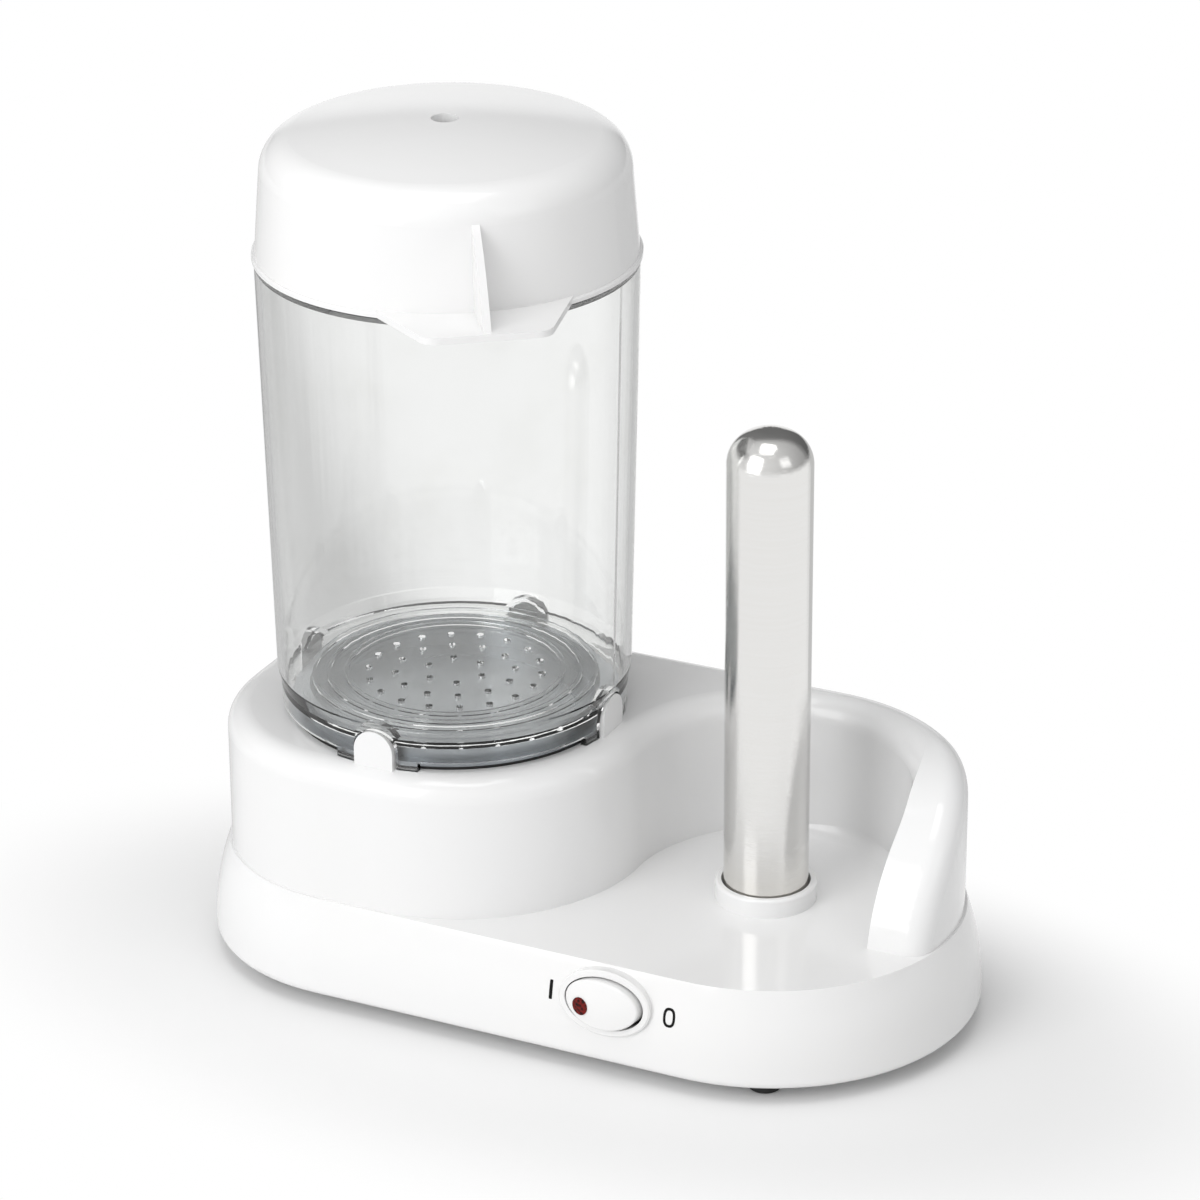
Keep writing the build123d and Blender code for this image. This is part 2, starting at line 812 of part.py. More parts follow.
def thermal_fuse():
    """Small round fuse under the dish whose two leads turn down."""
    x = jar_x - thermostat_offset
    body = bar_y(fuse_radius, -fuse_length / 2, fuse_length / 2, x, fuse_z)
    for end in fuse_ends():
        inside = (x, end[1] / 2, fuse_z)
        body += wire_along([inside, (x, end[1], fuse_z), end], fuse_lead, fuse_lead_bend)
    return body


# Spike

def spike_solid(inset, low):
    """The spike's round-nosed shape, drawn in by inset, from a height up to its tip."""
    bar = disc(spike_radius - inset, low, deck_z + spike_height - inset, spike_x)
    return fillet(bar.edges().group_by(Axis.Z)[-1], spike_nose - inset)


def spike_tube():
    """Polished tube with a closed round tip and a flange at its foot."""
    body = spike_solid(0, clamp_z) + disc(spike_flange, clamp_z, clamp_z + spike_flange_thickness, spike_x)
    return body - spike_solid(spike_wall, clamp_z - beyond)


def spike_collar():
    """White ring round the spike's foot, with a spigot in the deck's hole."""
    body = ring(collar_radius, spike_radius + collar_gap, deck_z, deck_z + collar_height, spike_x)
    rim = body.edges().filter_by(GeomType.CIRCLE).group_by(Axis.Z)[-1].sort_by(SortBy.RADIUS)[-1]
    body = fillet(rim, collar_edge)
    spigot = collar_radius - collar_step
    return body + ring(spigot, spike_radius + 2 * fit_gap, deck_under, deck_z + beyond, spike_x)


def spike_clamp():
    """Round plate that holds the spike's flange up against its seat."""
    plate = ring(clamp_radius, clamp_hole, clamp_under, clamp_z, spike_x)
    for x, y in clamp_places() + [lug_place(lug_circle)]:
        plate -= disc(screw_clear, clamp_under - beyond, clamp_z + beyond, x, y)
    return plate


def spike_screws():
    """Screws that hold the spike's clamp plate to the housing."""
    length = clamp_thickness + clamp_drop - 1
    return joined([screw(x, y, clamp_under, length) for x, y in clamp_places()])


def spike_heater():
    """Rod heater that stands on the clamp plate inside the spike, with two pins below."""
    body = disc(spike_rod_radius, clamp_z, clamp_z + spike_rod_length, spike_x)
    for side in (-1, 1):
        body += disc(wire_radius, pin_z, clamp_z + join, spike_x + side * spike_pin_spacing / 2)
    return body


def spike_insulators():
    """Two ceramic rings that keep the rod in the middle of the spike."""
    outer = spike_radius - spike_wall - fit_gap
    inner = spike_rod_radius + fit_gap
    high = clamp_z + spike_rod_length - insulator_thickness - 2
    return joined([ring(outer, inner, z, z + insulator_thickness, spike_x) for z in (clamp_z, high)])


def earth_lug():
    """Ring lug under the clamp plate with a barrel for the earth wire."""
    x, y = lug_place(lug_circle)
    low = clamp_under - lug_thickness
    body = disc(lug_radius, low, clamp_under, x, y)
    start = lug_place(lug_circle + lug_radius - lug_overlap)
    barrel = Plane((start[0], start[1], low - wire_radius / 2), z_dir=lug_way())
    body += extrude(barrel * Circle(wire_radius + lug_barrel_wall), lug_barrel)
    cap = clamp_radius + fit_gap
    body -= disc(cap, clamp_under, clamp_z, spike_x)
    return body - disc(screw_clear, low - beyond, clamp_under + beyond, x, y)


def lug_way():
    """The earth lug's direction, away from the spike."""
    return cos(radians(lug_turn)), sin(radians(lug_turn)), 0


def lug_end():
    """Where the earth wire meets the lug's barrel."""
    x, y = lug_place(lug_circle + lug_radius - lug_overlap + lug_barrel)
    return x, y, clamp_under - lug_thickness - wire_radius / 2


def earth_screw():
    """Screw through the lug and the clamp plate, with a nut above."""
    x, y = lug_place(lug_circle)
    reach = lug_thickness + clamp_thickness + nut_height + 0.5
    nut = Pos(x, y, clamp_z) * extrude(RegularPolygon(nut_radius, 6), nut_height)
    nut -= disc(screw_shank, clamp_z - beyond, clamp_z + nut_height + beyond, x, y)
    return joined([screw(x, y, clamp_under - lug_thickness, reach, lug_head), nut])


# Switch

boss_y = -(half_depth + flare_at(switch_drop) + boss_proud)
switch_z = deck_z - switch_drop
switch_place = Pos(switch_x, boss_y, switch_z) * Rot(-boss_tilt, 0, 0)
rocker_place = switch_place * Pos(0, rock_drop, 0) * Rot(0, 0, -rock_angle) * Pos(0, -rock_drop, 0)


def oval(length, height, front, back):
    """An oval bar along Y between two places."""
    face = Plane((0, front, 0), x_dir=(1, 0, 0), z_dir=(0, -1, 0)) * Ellipse(length / 2, height / 2)
    return extrude(face, front - back)


def dome(radius):
    """A ball whose front is the rocker's face, or inside it by as much as its radius is less."""
    return Pos(0, button_dome - button_proud, 0) * Sphere(radius)


def rocker_button():
    """Oval domed rocker, hollow behind, with a lug round its pin. Its left side is pressed in."""
    back = button_depth - button_proud
    body = oval(button_length, button_height, -button_proud - beyond, back) & dome(button_dome)
    body = fillet(body.edges().group_by(Axis.Y)[0], button_edge)
    inside = (button_length - 2 * button_wall, button_height - 2 * button_wall)
    hollow = oval(*inside, -button_proud, back + beyond)
    body -= hollow & dome(button_dome - button_wall)
    half = rocker_lug_half
    web = block((-rocker_lug_radius, -button_proud, -half), (rocker_lug_radius, rock_drop, half))
    web &= dome(button_dome - button_wall / 2)
    body += web + disc(rocker_lug_radius, -half, half, 0, rock_drop)
    body -= disc(rocker_pin_radius + fit_gap / 2, -half - beyond, half + beyond, 0, rock_drop)
    body -= bar_y(lens_radius, -button_proud - beyond, rock_drop, -lens_place, -lens_drop)
    return rocker_place * body


def rocker_lens():
    """Round red window in the rocker's left side."""
    lens = bar_y(lens_radius, -button_proud - beyond, rock_drop, -lens_place, -lens_drop)
    return rocker_place * ((lens & dome(button_dome + lens_proud)) - dome(button_dome - button_wall))


def rocker_pin():
    """Steel pin that the rocker turns on."""
    half = rocker_lug_half + rocker_ear + ear_gap
    return switch_place * disc(rocker_pin_radius, -half, half, 0, rock_drop)


def switch_body():
    """Black switch body with two ears that carry the rocker's pin."""
    half = switch_body_length / 2
    tall = switch_body_height / 2
    body = block((-half, switch_face, -tall), (half, switch_back, tall))
    for side in (-1, 1):
        near = rocker_lug_half + ear_gap
        low = near if side > 0 else -near - rocker_ear
        high = low + rocker_ear
        body += block((-rocker_lug_radius, rock_drop, low), (rocker_lug_radius, switch_face + beyond, high))
        body += disc(rocker_lug_radius, low, high, 0, rock_drop)
    return switch_place * (body - disc(rocker_pin_radius, -tall, tall, 0, rock_drop))


def switch_terminals():
    """Three blade terminals behind the switch body."""
    half = switch_blade_width / 2
    thin = blade_thickness / 2
    blades = []
    for x in (-terminal_spacing, 0, terminal_spacing):
        blades.append(switch_place * block((x - thin, switch_back, -half), (x + thin, blade_end, half)))
    return joined(blades)


def pilot_lamp():
    """Small lamp on the switch body, behind the rocker's window."""
    lamp = bar_y(lamp_radius, switch_face - lamp_length, switch_face, -lens_place, -lens_drop)
    return switch_place * fillet(lamp.edges().group_by(Axis.Y)[0], lamp_tip)


# Bottom plate, feet, inlet and wiring

def bottom_plate():
    """Flat plate that closes the housing, with vents, screw holes and holes for the feet."""
    inset = plate_clearance + shell_wall - skirt_flare
    plate = Pos(0, 0, plate_z) * extrude(outline_face(inset), plate_thickness)
    for x, y in plate_screw_places():
        plate -= disc(screw_clear, plate_z - beyond, plate_top + beyond, x, y)
    for x, y in foot_places():
        plate -= disc(foot_stem, plate_z - beyond, plate_top + beyond, x, y)
    slot = extrude(Rot(0, 0, 90) * SlotOverall(vent_length, vent_width), plate_thickness + 2)
    slot = Pos(0, 0, plate_z - beyond) * slot
    for middle, count in ((jar_x, tower_vents), (spike_x, spike_vents)):
        for i in range(count):
            plate -= Pos(middle + vent_pitch * (i - (count - 1) / 2), 0, 0) * slot
    return plate


def housing_screws():
    """Screws that hold the bottom plate to the housing."""
    length = plate_thickness + boss_hole_depth - 3
    return joined([screw(x, y, plate_z, length) for x, y in plate_screw_places()])


def rubber_feet():
    """Four rubber feet, each with a stem and a barb through the plate."""
    foot = disc(foot_radius, 0, rubber_foot_height)
    foot = fillet(foot.edges().group_by(Axis.Z)[0], foot_edge)
    foot += disc(foot_stem, rubber_foot_height - beyond, plate_top + foot_barb_height)
    foot += disc(foot_barb, plate_top, plate_top + foot_barb_height)
    return joined([Pos(x, y, 0) * foot for x, y in foot_places()])


def cord_bush():
    """Rubber bush in the inlet at the back."""
    end = inlet_pad_inside - inlet_nut_thickness
    body = bar_y(inlet_hole - fit_gap, end, inlet_pad_face + join, inlet_x, inlet_height)
    outside = inlet_pad_face + inlet_collar_thickness
    body += bar_y(inlet_collar, inlet_pad_face, outside, inlet_x, inlet_height)
    body += bar_y(inlet_nut_radius, end, inlet_pad_inside, inlet_x, inlet_height)
    return body - bar_y(inlet_bore, half_depth - inlet_cut, half_depth + inlet_cut, inlet_x, inlet_height)


def pole_places():
    """Where the terminal block's poles are, along X."""
    return [pole_pitch * (i - (block_poles - 1) / 2) for i in range(block_poles)]


def terminal_block():
    """Terminal block on the bottom plate, with a screw well over each end of each pole."""
    half = block_length / 2
    top = plate_top + block_height
    body = block((-half, block_y, plate_top), (half, block_y + block_depth, top))
    for x, y in terminal_wells():
        body -= disc(screw_head - pole_screw_smaller + fit_gap, top - screw_head_height, top + beyond, x, y)
    return body


def terminal_wells():
    """Where the terminal block's screws are."""
    return [(x, block_y + block_depth * share) for x in pole_places() for share in (0.25, 0.75)]


def terminal_screws():
    """Slotted brass screws in the terminal block's wells."""
    top = plate_top + block_height
    low = top - screw_head_height
    half = screw_slot_half
    slot = block((-screw_head, -half, top - beyond), (screw_head, half, top + beyond))
    head = disc(screw_head - pole_screw_smaller, low, top) - slot
    return joined([Pos(x, y, 0) * head for x, y in terminal_wells()])


def blade_run(index):
    """The end of a wire at a switch terminal: a place behind it, then the blade's end."""
    x = terminal_spacing * (index - 1)
    behind = switch_place * Pos(x, blade_end + blade_lead, 0)
    end = switch_place * Pos(x, blade_end, 0)
    return [tuple(behind.position), tuple(end.position)]


def pole_run(index):
    """The end of a wire at a pole of the terminal block: a place in front of it, then its entry."""
    x = pole_places()[index]
    return [(x, block_y - pole_lead, entry_z), (x, block_y, entry_z)]


def wires_live():
    """Live wires: block to switch, switch to thermostat and rod heater, thermostat to ring heater."""
    left = jar_x + thermostat_offset - terminal_spacing / 2
    right = left + terminal_spacing
    ring_end = (jar_x + heater_ends()[1][0], heater_ends()[1][1])
    rod = spike_x - spike_pin_spacing / 2
    supply = pole_run(1)[::-1] + [(blade_run(0)[0][0], -14, entry_z + 3)] + blade_run(0)
    rise = [(left + 9, -6, deck_z / 2 + 5), (left, 0, deck_under - 2), (left, 0, thermostat_pin_z)]
    to_dish = blade_run(1)[::-1] + rise
    low = thermostat_pin_z - 18
    across = [(right, 0, thermostat_pin_z), (right, 0, low + 4), (right - 8, -20, low)]
    to_ring = across + [(ring_end[0] + 8, -22, low), (*ring_end, low + 1), (*ring_end, heater_pin_z)]
    to_rod = blade_run(2)[::-1] + [(rod - 9, -9, entry_z + 4), (rod, 0, entry_z + 1), (rod, 0, pin_z)]
    return joined([wire_along(run) for run in (supply, to_dish, to_ring, to_rod)])


def wires_neutral():
    """Neutral wires: ring heater to fuse, fuse to block, rod heater to block."""
    ring_end = (jar_x + heater_ends()[0][0], heater_ends()[0][1])
    front, back = fuse_ends()
    low = fuse_end_z - 11
    rod = spike_x + spike_pin_spacing / 2
    to_fuse = [(*ring_end, heater_pin_z), (*ring_end, low), (back[0], back[1], low), back]
    turn = (front[0] + fuse_wire_run, 5, entry_z + fuse_wire_top)
    home = [front, (front[0], front[1], deck_under - fuse_wire_top), turn] + pole_run(0)
    from_rod = [(rod, 0, pin_z), (rod, 0, entry_z - 2), (rod - 18, 9, entry_z - 2)] + pole_run(2)
    return joined([wire_along(run) for run in (to_fuse, home, from_rod)])


def wire_earth():
    """Earth wire from the spike's lug to the side of the terminal block."""
    end = lug_end()
    way = lug_way()
    corner = (end[0] + earth_lead * way[0], end[1] + earth_lead * way[1], end[2])
    side = block_length / 2
    middle = block_y + block_depth / 2
    return wire_along([end, corner, (corner[0], middle, entry_z), (side, middle, entry_z)])


makers = [
    upper_housing, container, lid, heating_dish, dish_seal, dish_heater, dish_bracket, heat_shield,
    dish_screws, dish_thermostat, thermal_fuse, spike_tube, spike_collar, spike_clamp, spike_screws,
    spike_heater, spike_insulators, earth_lug, earth_screw, rocker_button, rocker_lens, rocker_pin,
    switch_body, switch_terminals, pilot_lamp, bottom_plate, housing_screws, rubber_feet, cord_bush,
    terminal_block, terminal_screws, wires_live, wires_neutral, wire_earth,
]
nodes = {maker.__name__: maker() for maker in makers}
boxes = [shape.bounding_box() for shape in nodes.values()]
middle_x = (min(b.min.X for b in boxes) + max(b.max.X for b in boxes)) / 2
middle_y = (min(b.min.Y for b in boxes) + max(b.max.Y for b in boxes)) / 2
print("origin moved by", -middle_x, -middle_y)
print("rocker pin", (switch_place * Pos(0, rock_drop, 0)).position)
os.makedirs("parts", exist_ok=True)
for name, shape in nodes.items():
    solids = [Pos(-middle_x, -middle_y, 0) * solid for solid in shape.solids()]
    moved = solids[0] if len(solids) == 1 else Compound(solids)
    print(name, moved.is_valid, round(moved.volume, 1), len(moved.solids()))
    export_step(moved, f"parts/{name}.step")
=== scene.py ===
import json
from math import cos, pi, radians, sin

import bpy
import numpy as np
from mathutils import Matrix, Vector

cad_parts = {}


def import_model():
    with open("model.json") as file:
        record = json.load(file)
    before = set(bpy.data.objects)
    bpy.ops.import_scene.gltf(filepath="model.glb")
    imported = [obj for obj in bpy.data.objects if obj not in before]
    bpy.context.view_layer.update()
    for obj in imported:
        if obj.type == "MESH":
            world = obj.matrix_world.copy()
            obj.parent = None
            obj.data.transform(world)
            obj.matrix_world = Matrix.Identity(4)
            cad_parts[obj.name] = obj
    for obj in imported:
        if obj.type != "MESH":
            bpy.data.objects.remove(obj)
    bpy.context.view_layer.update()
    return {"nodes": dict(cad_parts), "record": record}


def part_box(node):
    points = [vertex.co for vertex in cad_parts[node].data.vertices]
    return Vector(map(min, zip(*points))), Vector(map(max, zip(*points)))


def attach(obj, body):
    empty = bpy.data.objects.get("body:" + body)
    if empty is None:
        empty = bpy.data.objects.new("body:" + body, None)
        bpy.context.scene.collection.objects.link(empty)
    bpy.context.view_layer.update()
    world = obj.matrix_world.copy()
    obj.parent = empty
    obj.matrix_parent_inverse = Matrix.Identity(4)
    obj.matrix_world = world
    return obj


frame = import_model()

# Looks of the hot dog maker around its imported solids. Metres, +Z up, the front faces -Y.
# Every pattern is laid on Object coordinates, which are the row frame's, because every piece sits at the origin.

# Camera, solved from the ellipses of the container and the deck
VIEW_AZIMUTH = radians(25.844)
VIEW_ELEVATION = radians(24.173)
VIEW_ROLL = radians(-0.302)
VIEW_DISTANCE = 1.8332
VIEW_LENS = 147.477
SENSOR = 36.0
VIEW_TARGET = Vector((-0.091014, 0.193358, 0.0385))

# Places of the object, in the frame
housing_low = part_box("upper_housing")[0]
container_low, container_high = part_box("container")
spike_low, spike_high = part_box("spike_tube")
lens_low, lens_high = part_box("rocker_lens")
dish_low, dish_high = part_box("heating_dish")
JAR_AXIS = (container_low + container_high) / 2
SPIKE_AXIS = (spike_low + spike_high) / 2
DISH_AXIS = (dish_low + dish_high) / 2
SKIRT_HEIGHT = 0.0335
SKIRT_FLARE = 0.0054
FLARE_DEPTH = 0.030
HALF_DEPTH = 0.065
DECK = housing_low.z + SKIRT_HEIGHT
FRONT_RIM = SPIKE_AXIS.y - HALF_DEPTH

# Grinding lines of the spike
GRIND_PITCH = 0.00012
GRIND_DEPTH = 0.000025

# Pad-printed marks beside the switch
MARK_PROUD = 0.00006
ON_MARK_X = 0.0161
ON_MARK_DROP = 0.0118
ON_MARK_WIDTH = 0.00115
ON_MARK_SQUARENESS = 9
OFF_MARK_X = 0.0581
OFF_MARK_DROP = 0.0123
OFF_MARK_WIDTH = 0.0042
OFF_MARK_STROKE = 0.00085
OFF_MARK_SQUARENESS = 2.6
MARK_HEIGHT = 0.0064
BAR_SLIT = 0.00001
OUTLINE_POINTS = 96
STROKE_POINTS = 3

# Camera's clip, and the floor's half size
NEAR_CLIP = 0.05
FAR_CLIP = 50
FLOOR_REACH = 6.0


class Wire:
    """An output socket. Sums and products with numbers or other sockets add Math nodes behind it."""

    def __init__(self, finish, socket):
        self.finish = finish
        self.socket = socket

    def math(self, operation, *values):
        return self.finish.node("ShaderNodeMath", {"operation": operation}, values)

    def __add__(self, other):
        return self.math("ADD", self, other)

    def __sub__(self, other):
        return self.math("SUBTRACT", self, other)

    def __rsub__(self, other):
        return self.math("SUBTRACT", other, self)

    def __mul__(self, other):
        return self.math("MULTIPLY", self, other)

    def __pow__(self, other):
        return self.math("POWER", self, other)

    def between(self, low, high):
        """A smooth step: 0 below low, 1 above high."""
        values = {"Value": self, "From Min": low, "From Max": high}
        return self.finish.node("ShaderNodeMapRange", {"interpolation_type": "SMOOTHSTEP"}, values)


class Finish:
    """One node tree and what its patterns are made with."""

    def __init__(self, tree):
        self.tree = tree
        self.tree.nodes.clear()

    def node(self, kind, settings=None, inputs=(), output=0):
        """Adds a node: its settings first, then the values or links of its sockets."""
        made = self.tree.nodes.new(kind)
        for key, value in (settings or {}).items():
            setattr(made, key, value)
        pairs = inputs.items() if isinstance(inputs, dict) else enumerate(inputs)
        for key, value in pairs:
            if isinstance(value, Wire):
                self.tree.links.new(value.socket, made.inputs[key])
            else:
                made.inputs[key].default_value = value
        return Wire(self, made.outputs[output])

    def end(self, kind, shown):
        """The output node, with what it shows."""
        last = self.tree.nodes.new(kind)
        self.tree.links.new(shown.socket, last.inputs[0])

    def place(self, centre=(0, 0, 0), scale=(1, 1, 1)):
        """Object coordinates about a centre, stretched by scale."""
        at = self.node("ShaderNodeTexCoord", output="Object")
        moved = self.node("ShaderNodeVectorMath", {"operation": "SUBTRACT"}, [at, tuple(centre)])
        return self.node("ShaderNodeVectorMath", {"operation": "MULTIPLY"}, [moved, tuple(scale)])

    def xyz(self, vector):
        """The three parts of a vector."""
        parts = self.node("ShaderNodeSeparateXYZ", inputs=[vector])
        return [Wire(self, output) for output in parts.socket.node.outputs]

    def noise(self, size, vector, detail=2.0, roughness=0.5):
        """Noise from 0 to 1 with spots of about the size that is given."""
        values = {"Vector": vector, "Scale": 1 / size, "Detail": detail, "Roughness": roughness}
        return self.node("ShaderNodeTexNoise", None, values)

    def cells(self, size, vector, feature="F1"):
        """Distance to the nearest of scattered points, a size apart."""
        return self.node("ShaderNodeTexVoronoi", {"feature": feature}, {"Vector": vector, "Scale": 1 / size})

    def mix(self, factor, a, b):
        """Colour a where factor is 0 and colour b where it is 1."""
        return self.node("ShaderNodeMix", {"data_type": "RGBA"}, {0: factor, 6: a, 7: b}, 2)

    def bump(self, height, distance, below=None):
        """A normal from a height of 0 to 1 that stands for a distance in metres."""
        values = {"Height": height, "Distance": distance}
        if below:
            values["Normal"] = below
        return self.node("ShaderNodeBump", None, values)


def finish(name, **sockets):
    """A material with one Principled shader and its constant sockets. Returns the material and its Finish."""
    material = bpy.data.materials.new(name)
    material.use_nodes = True
    tree = Finish(material.node_tree)
    shader = tree.node("ShaderNodeBsdfPrincipled").socket.node
    tree.end("ShaderNodeOutputMaterial", Wire(tree, shader.outputs[0]))
    tree.shader = shader
    for key, value in sockets.items():
        shader.inputs[key.replace("_", " ")].default_value = value
    return material, tree


def feed(tree, **sockets):
    """Links varying values to the shader's sockets."""
    for key, wire in sockets.items():
        tree.tree.links.new(wire.socket, tree.shader.inputs[key.replace("_", " ")])


def grey(level, tint=(0, 0, 0)):
    """An opaque colour of one level with a slight tint."""
    return (level + tint[0], level + tint[1], level + tint[2], 1.0)


def dimmed(colour, share):
    """An opaque colour at a share of its level."""
    return tuple(c * share for c in colour[:3]) + (1.0,)


# Finishes

def white_moulding(name, level, gloss, peel):
    """Glossy white plastic: faint cloudy tone, moulded waviness, and gloss that is dulled a little by handling."""
    material, tree = finish(name, IOR=1.5, Specular_IOR_Level=0.5)
    at = tree.place()
    cloud = tree.noise(0.045, at, 3)
    warm = tree.noise(0.11, at, 1)
    fine = tree.noise(0.0009, at, 2)
    cool = grey(level, (-0.004, 0.0, 0.008))
    soft = grey(level - 0.02, (0.008, 0.003, -0.006))
    colour = tree.mix(cloud * 0.5 + warm * 0.5, cool, soft)
    handled = tree.noise(0.018, at, 4, 0.6).between(0.48, 0.72)
    wave = tree.noise(0.007, at, 1)
    normal = tree.bump(wave, peel)
    normal = tree.bump(fine, 0.000003, normal)
    feed(tree, Base_Color=colour, Roughness=handled * 0.05 + gloss, Normal=normal)
    return material


def matt_plastic(name, colour, roughness, grain):
    """Spark-eroded plastic with a fine grain and a cloudy tone."""
    material, tree = finish(name, IOR=1.47)
    at = tree.place()
    spots = tree.noise(grain, at, 2)
    cloud = tree.noise(0.03, at, 2)
    darker = dimmed(colour, 0.88)
    feed(tree, Base_Color=tree.mix(cloud, colour, darker), Roughness=spots * 0.12 + (roughness - 0.06),
         Normal=tree.bump(spots, grain * 0.06))
    return material


def clear_plastic():
    """Clear moulded wall: slight upright flow streaks, a trace of haze, and a faint cold tint."""
    material, tree = finish("clear_plastic", IOR=1.49, Transmission_Weight=1.0)
    streaks = tree.noise(0.006, tree.place(JAR_AXIS, (1, 1, 0.05)), 2)
    haze = tree.noise(0.03, tree.place(JAR_AXIS), 3).between(0.45, 0.8)
    tint = tree.mix(haze, (0.94, 0.944, 0.94, 1), (0.91, 0.914, 0.905, 1))
    feed(tree, Base_Color=tint, Roughness=haze * 0.02 + 0.012, Normal=tree.bump(streaks, 0.00003))
    return material


def turned_metal(name, colour, centre, roughness, pitch, depth):
    """Metal turned on a lathe: rings about an upright axis, a few scratches across them and duller patches."""
    material, tree = finish(name, Metallic=1.0)
    at = tree.place(centre)
    x, y, z = tree.xyz(at)
    radius = (x * x + y * y) ** 0.5
    flat = tree.node("ShaderNodeCombineXYZ", None, [radius, z * 0.2, 0.0])
    rings = tree.noise(pitch, flat, 3, 0.7)
    wide = tree.noise(pitch * 6, flat, 2)
    scratch = tree.noise(0.0006, tree.place(centre, (1, 0.02, 1)), 1).between(0.68, 0.76)
    stain = tree.noise(0.02, at, 4).between(0.4, 0.75)
    darker = dimmed(colour, 0.72)
    tone = tree.mix(stain * 0.6 + wide * 0.4, colour, darker)
    height = rings * 0.8 + wide * 0.6 - scratch * 0.5
    feed(tree, Base_Color=tone, Roughness=rings * 0.14 + stain * 0.08 + roughness, Normal=tree.bump(height, depth))
    return material


def polished_tube():
    """Polished steel tube: fine grinding lines round it, which draw its reflections out upright, a few smears,
    and a trace of heat colour at the foot."""
    material, tree = finish("polished_tube", Metallic=1.0)
    at = tree.place(SPIKE_AXIS)
    z = tree.xyz(at)[2]
    lines = tree.noise(GRIND_PITCH, tree.place(SPIKE_AXIS, (0.02, 0.02, 1)), 2)
    around = tree.noise(0.0009, tree.place(SPIKE_AXIS, (0.02, 0.02, 1)), 2)
    smear = tree.noise(0.02, at, 3).between(0.5, 0.75)
    low = 1 - (z + (SPIKE_AXIS.z - spike_low.z)).between(0.012, 0.035)
    colour = tree.mix(low * 0.5 + around * 0.2, (0.8, 0.795, 0.785, 1), (0.70, 0.68, 0.63, 1))
    feed(tree, Base_Color=colour, Roughness=around * 0.03 + smear * 0.04 + 0.05,
         Normal=tree.bump(lines, GRIND_DEPTH))
    return material


def steel_sheet(name, colour, roughness):
    """Zinc-plated or heat-dulled steel: small crystals, cloudy tone and fine rolling lines."""
    material, tree = finish(name, Metallic=1.0)
    at = tree.place()
    spangle = tree.cells(0.0022, at)
    cloud = tree.noise(0.008, at, 4)
    lines = tree.noise(0.0004, tree.place((0, 0, 0), (0.05, 1, 1)), 2)
    darker = dimmed(colour, 0.7)
    feed(tree, Base_Color=tree.mix(cloud * 0.7 + spangle * 0.3, colour, darker),
         Roughness=cloud * 0.15 + lines * 0.1 + roughness, Normal=tree.bump(lines, 0.000004))
    return material


def rubber(name, level):
    """Black rubber with a fine grain and paler dusty patches."""
    material, tree = finish(name, IOR=1.45, Specular_IOR_Level=0.35)
    at = tree.place()
    grain = tree.noise(0.0006, at, 3)
    dust = tree.noise(0.006, at, 4).between(0.5, 0.8)
    feed(tree, Base_Color=tree.mix(dust * 0.5, grey(level), grey(level * 2.2)), Roughness=grain * 0.2 + 0.6,
         Normal=tree.bump(grain, 0.00004))
    return material


def red_window():
    """Dark red window with small prisms moulded behind its glossy face. The prisms are not shaped: their lit and
    shaded facets are painted into its colour as lighter and darker cells.
    """
    material, tree = finish("red_window", IOR=1.5, Specular_IOR_Level=0.16)
    centre = (lens_low + lens_high) / 2
    prism = tree.cells(0.0012, tree.place(centre))
    cloud = tree.noise(0.0016, tree.place(centre), 2)
    deep = (0.015, 0.001, 0.001, 1)
    # Painted highlight: the lighter red of prism facets that catch the light
    painted_lit_red = (0.16, 0.008, 0.006, 1)
    # Painted light and shade: prism cells and cloud choose between the dark red and the painted lit red
    painted_facet_light = (prism * 0.9 + cloud * 0.5).between(0.42, 0.92)
    feed(tree, Base_Color=tree.mix(painted_facet_light, deep, painted_lit_red), Roughness=prism * 0.15 + 0.1)
    return material


def sheath(name, colour, stripe=None):
    """Soft wire insulation, with a stripe of a second colour where it has one."""
    material, tree = finish(name, IOR=1.45)
    at = tree.place()
    grain = tree.noise(0.0012, at, 2)
    darker = dimmed(colour, 0.8)
    tone = tree.mix(grain, colour, darker)
    if stripe:
        bands = tree.noise(0.0035, tree.place((0, 0, 0), (1, 0.15, 1)), 0).between(0.5, 0.53)
        tone = tree.mix(bands, tone, stripe)
    feed(tree, Base_Color=tone, Roughness=grain * 0.1 + 0.35)
    return material


def ceramic():
    """Unglazed white ceramic with small pits and a warm tone."""
    material, tree = finish("ceramic", IOR=1.6)
    at = tree.place()
    pits = tree.noise(0.0007, at, 3).between(0.6, 0.75)
    cloud = tree.noise(0.006, at, 2)
    tone = tree.mix(cloud, (0.82, 0.79, 0.71, 1), (0.74, 0.70, 0.62, 1))
    feed(tree, Base_Color=tone, Roughness=cloud * 0.1 + 0.55, Normal=tree.bump(1 - pits, 0.00005))
    return material


def lamp_glass():
    """Small neon lamp: glass with a warm core."""
    material, tree = finish("lamp_glass", IOR=1.5, Transmission_Weight=0.7)
    cloud = tree.noise(0.001, tree.place(), 2)
    colour = tree.mix(cloud, (0.95, 0.75, 0.62, 1), (0.8, 0.45, 0.3, 1))
    feed(tree, Base_Color=colour, Roughness=cloud * 0.1 + 0.04)
    return material


def print_ink():
    """Black pad-printed ink: thin and even, slightly broken at the finest scale."""
    material, tree = finish("print_ink", IOR=1.45, Specular_IOR_Level=0.12)
    speck = tree.noise(0.0004, tree.place(), 3).between(0.35, 0.6)
    feed(tree, Base_Color=tree.mix(speck, grey(0.012), grey(0.006)), Roughness=speck * 0.1 + 0.55)
    return material


